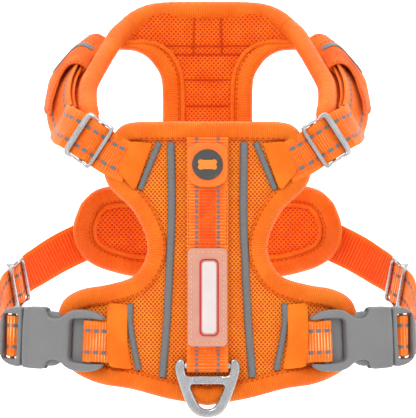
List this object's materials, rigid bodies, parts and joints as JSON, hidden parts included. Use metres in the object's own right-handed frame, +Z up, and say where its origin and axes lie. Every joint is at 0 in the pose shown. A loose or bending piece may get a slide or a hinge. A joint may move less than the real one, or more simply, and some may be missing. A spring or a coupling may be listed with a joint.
{
  "type": "dog harness",
  "caption": "Padded no-pull dog harness with chest and back panels, neck yoke, adjustable straps with slides, side-release buckles, leash rings and a carrying handle.",
  "frame": {"origin": "middle of the neck opening, level with the middle of its slope", "axes": "+X to one side of the dog, +Y from the chest to the back, +Z up; the chest panel faces -Y"},
  "size_m": [0.2632, 0.1697, 0.2594],
  "materials": {
    "air_mesh": "matt air mesh with small holes",
    "foam": "soft foam",
    "binding_tape": "ribbed satin tape",
    "webbing": "woven polyester with grey reflective yarn",
    "reflective_tape": "fine reflective weave",
    "buckle_plastic": "fine moulded texture",
    "polished_metal": "polished cast alloy",
    "shell_fabric": "plain woven polyester",
    "clear_patch": "cloudy soft rubber",
    "name_plate": "satin",
    "flap_rubber": "matt",
    "disc_rubber": "matt",
    "icon_print": "matt"
  },
  "bodies": {
    "vest": {"chest_cover": "air_mesh", "chest_padding": "foam", "chest_lining": "air_mesh", "chest_top_binding": "binding_tape", "chest_left_binding": "binding_tape", "chest_right_binding": "binding_tape", "chest_bottom_binding": "binding_tape", "chest_inner_piping": "reflective_tape", "chest_upper_piping": "reflective_tape", "chest_lower_piping": "reflective_tape", "chest_upper_patches": "shell_fabric", "chest_lower_patches": "shell_fabric", "chest_webbing": "webbing", "name_patch": "clear_patch", "name_plate": "name_plate", "left_shoulder_webbing": "webbing", "right_shoulder_webbing": "webbing", "left_female_webbing": "webbing", "right_female_webbing": "webbing", "left_buckle_female": "buckle_plastic", "right_buckle_female": "buckle_plastic", "left_girth_strap": "webbing", "right_girth_strap": "webbing", "back_cover": "shell_fabric", "back_padding": "foam", "back_lining": "air_mesh", "back_left_binding": "binding_tape", "back_right_binding": "binding_tape", "back_bottom_binding": "binding_tape", "back_piping": "reflective_tape", "yoke_cover": "shell_fabric", "yoke_padding": "foam", "yoke_lining": "air_mesh", "yoke_edge_binding": "binding_tape", "collar_roll": "binding_tape", "left_sleeve": "shell_fabric", "right_sleeve": "shell_fabric", "upper_sleeves": "shell_fabric", "sleeve_bands": "reflective_tape", "back_webbing": "webbing", "handle_webbing": "webbing", "handle_grip": "binding_tape", "back_ring_keeper": "webbing"},
    "front_ring": {"front_ring": "polished_metal"},
    "back_ring": {"back_ring": "polished_metal"},
    "id_flap": {"id_flap": "flap_rubber", "id_disc": "disc_rubber", "id_icon": "icon_print"},
    "left_shoulder_slide": {"left_shoulder_slide": "polished_metal"},
    "right_shoulder_slide": {"right_shoulder_slide": "polished_metal"},
    "left_buckle_half": {"left_buckle_male": "buckle_plastic"},
    "right_buckle_half": {"right_buckle_male": "buckle_plastic"},
    "left_girth_slide": {"left_girth_slide": "polished_metal"},
    "right_girth_slide": {"right_girth_slide": "polished_metal"},
    "left_upper_prong": {"left_upper_prong": "buckle_plastic"},
    "left_lower_prong": {"left_lower_prong": "buckle_plastic"},
    "right_upper_prong": {"right_upper_prong": "buckle_plastic"},
    "right_lower_prong": {"right_lower_prong": "buckle_plastic"}
  },
  "joints": [
    {"name": "front_ring_swing", "type": "hinge", "parent": "vest", "child": "front_ring", "pos_m": [0, -0.06955, -0.184], "axis": [-1, 0, 0], "range_deg": [0, 110]},
    {"name": "back_ring_swing", "type": "hinge", "parent": "vest", "child": "back_ring", "pos_m": [0, 0.07115, -0.092], "axis": [1, 0, 0], "range_deg": [0, 110]},
    {"name": "id_flap_lift", "type": "hinge", "parent": "vest", "child": "id_flap", "pos_m": [0, -0.07085, -0.0518], "axis": [-1, 0, 0], "range_deg": [0, 110]},
    {"name": "left_shoulder_adjust", "type": "slide", "parent": "vest", "child": "left_shoulder_slide", "axis": [-0.802, 0.301, 0.516], "range_m": [-0.005, 0.005]},
    {"name": "left_buckle_release", "type": "slide", "parent": "vest", "child": "left_buckle_half", "axis": [-0.9263, 0.3743, 0.0436], "range_m": [0, 0.027], "deforming": ["left_girth_strap", "left_upper_prong", "left_lower_prong"]},
    {"name": "left_girth_adjust", "type": "slide", "parent": "left_buckle_half", "child": "left_girth_slide", "axis": [-0.3502, -0.8604, -0.3702], "range_m": [-0.005, 0.005]},
    {"name": "left_upper_prong_flex", "type": "hinge", "parent": "left_buckle_half", "child": "left_upper_prong", "pos_m": [-0.10256, -0.04692, -0.1596], "axis": [0.3746, 0.9272, 0], "range_deg": [0, 15], "stiffness_Nm_per_rad": 0.02},
    {"name": "left_lower_prong_flex", "type": "hinge", "parent": "left_buckle_half", "child": "left_lower_prong", "pos_m": [-0.10325, -0.04664, -0.17678], "axis": [-0.3746, -0.9272, 0], "range_deg": [0, 15], "stiffness_Nm_per_rad": 0.02},
    {"name": "right_shoulder_adjust", "type": "slide", "parent": "vest", "child": "right_shoulder_slide", "axis": [0.802, 0.301, 0.516], "range_m": [-0.005, 0.005]},
    {"name": "right_buckle_release", "type": "slide", "parent": "vest", "child": "right_buckle_half", "axis": [0.9263, 0.3743, 0.0436], "range_m": [0, 0.027], "deforming": ["right_girth_strap", "right_upper_prong", "right_lower_prong"]},
    {"name": "right_girth_adjust", "type": "slide", "parent": "right_buckle_half", "child": "right_girth_slide", "axis": [0.3502, -0.8604, -0.3702], "range_m": [-0.005, 0.005]},
    {"name": "right_upper_prong_flex", "type": "hinge", "parent": "right_buckle_half", "child": "right_upper_prong", "pos_m": [0.10256, -0.04692, -0.1596], "axis": [0.3746, -0.9272, 0], "range_deg": [0, 15], "stiffness_Nm_per_rad": 0.02},
    {"name": "right_lower_prong_flex", "type": "hinge", "parent": "right_buckle_half", "child": "right_lower_prong", "pos_m": [0.10325, -0.04664, -0.17678], "axis": [-0.3746, 0.9272, 0], "range_deg": [0, 15], "stiffness_Nm_per_rad": 0.02}
  ]
}
